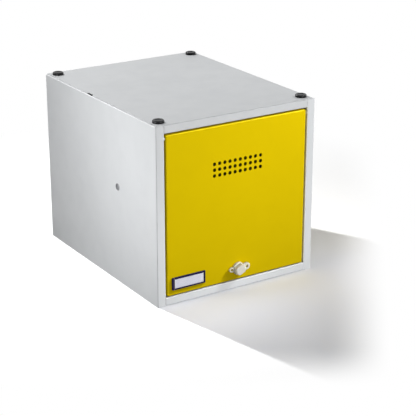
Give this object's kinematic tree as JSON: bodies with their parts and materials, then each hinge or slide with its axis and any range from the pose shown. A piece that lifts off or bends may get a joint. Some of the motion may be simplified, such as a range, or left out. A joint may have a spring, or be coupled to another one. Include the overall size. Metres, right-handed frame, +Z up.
{
  "type": "cube locker",
  "caption": "Stackable sheet-steel cube locker with a top-hung flap door, vent holes, a card holder and a padlock turn latch; knobs on its top enter the base of the next locker.",
  "frame": {"origin": "centre of the base face, on the floor", "axes": "+Z up, -Y out of the door, +X to the right seen from the front"},
  "size_m": [0.401, 0.518, 0.406],
  "materials": {
    "grey_paint": "light grey powder coat, fine orange peel",
    "yellow_paint": "yellow powder coat, fine orange peel",
    "black_plastic": "moulded, satin",
    "plug_plastic": "moulded, satin",
    "nylon": "moulded nylon",
    "label_plastic": "dark blue-black, smooth",
    "card": "plain white card",
    "clear_plastic": "clear, smooth",
    "adhesive_foam": "double-sided foam",
    "lock_plastic": "ivory, semi-gloss",
    "zinc_plate": "bright zinc plate",
    "buffer_rubber": "matt"
  },
  "bodies": {
    "carcass": {"left_side_panel": "grey_paint", "right_side_panel": "grey_paint", "top_panel": "grey_paint", "bottom_panel": "grey_paint", "back_panel": "grey_paint", "left_hole_plug": "plug_plastic", "right_hole_plug": "plug_plastic", "stacking_knob_front_left": "black_plastic", "stacking_knob_front_right": "black_plastic", "stacking_knob_rear_left": "black_plastic", "stacking_knob_rear_right": "black_plastic", "knob_washers": "zinc_plate", "knob_nuts": "zinc_plate", "left_hinge_bush": "nylon", "right_hinge_bush": "nylon", "door_buffers": "buffer_rubber"},
    "door": {"door_panel": "yellow_paint", "door_stiffener": "yellow_paint", "left_hinge_pin": "zinc_plate", "right_hinge_pin": "zinc_plate", "label_adhesive_pad": "adhesive_foam", "label_card": "card", "label_window": "clear_plastic", "label_frame": "label_plastic", "lock_base": "lock_plastic", "lock_washer": "zinc_plate", "lock_nut": "zinc_plate"},
    "latch": {"lock_rotor": "lock_plastic", "lock_cam": "zinc_plate", "cam_washer": "zinc_plate", "cam_screw": "zinc_plate"}
  },
  "joints": [
    {"name": "door_hinge", "type": "hinge", "parent": "carcass", "child": "door", "pos_m": [0, -0.242, 0.3692], "axis": [-1, 0, 0], "range_deg": [0, 115]},
    {"name": "latch_turn", "type": "hinge", "parent": "door", "child": "latch", "pos_m": [0, -0.25, 0.048], "axis": [0, -1, 0], "range_deg": [0, 168]}
  ]
}
